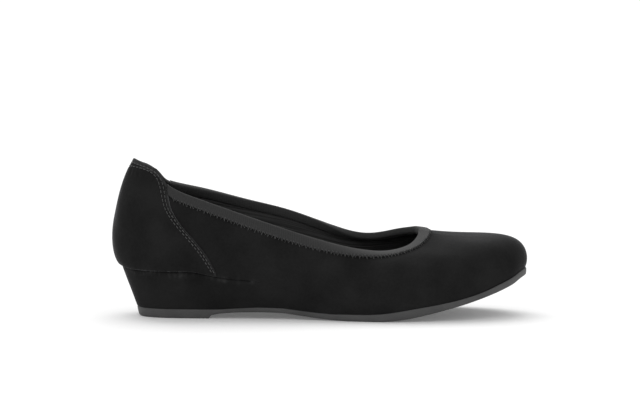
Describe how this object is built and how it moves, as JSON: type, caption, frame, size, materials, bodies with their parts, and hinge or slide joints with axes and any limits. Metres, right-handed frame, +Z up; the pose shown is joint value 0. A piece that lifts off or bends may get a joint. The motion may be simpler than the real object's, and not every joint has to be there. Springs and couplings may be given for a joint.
{
  "type": "ballet flat",
  "caption": "Right ballet flat in suede with a ribbed elastic topline, a heel counter with a raised tab, a low covered wedge and a moulded rubber sole.",
  "frame": {"origin": "on the floor, in the middle of the shoe's box in plan", "axes": "+X from heel to toe, +Y from the lateral to the medial side, +Z up from the floor"},
  "size_m": [0.254, 0.0902, 0.0954],
  "materials": {
    "outsole": "matte moulded rubber, dark grey",
    "wedge": "black suede with a short nap",
    "upper": "black suede with a short nap",
    "counter": "black suede with a short nap",
    "collar_binding": "ribbed elastic tape, black",
    "insole": "smooth black lining leather"
  },
  "bodies": {
    "root": {"outsole": "outsole", "wedge": "wedge", "upper": "upper", "counter": "counter", "collar_binding": "collar_binding", "insole": "insole"}
  },
  "joints": []
}
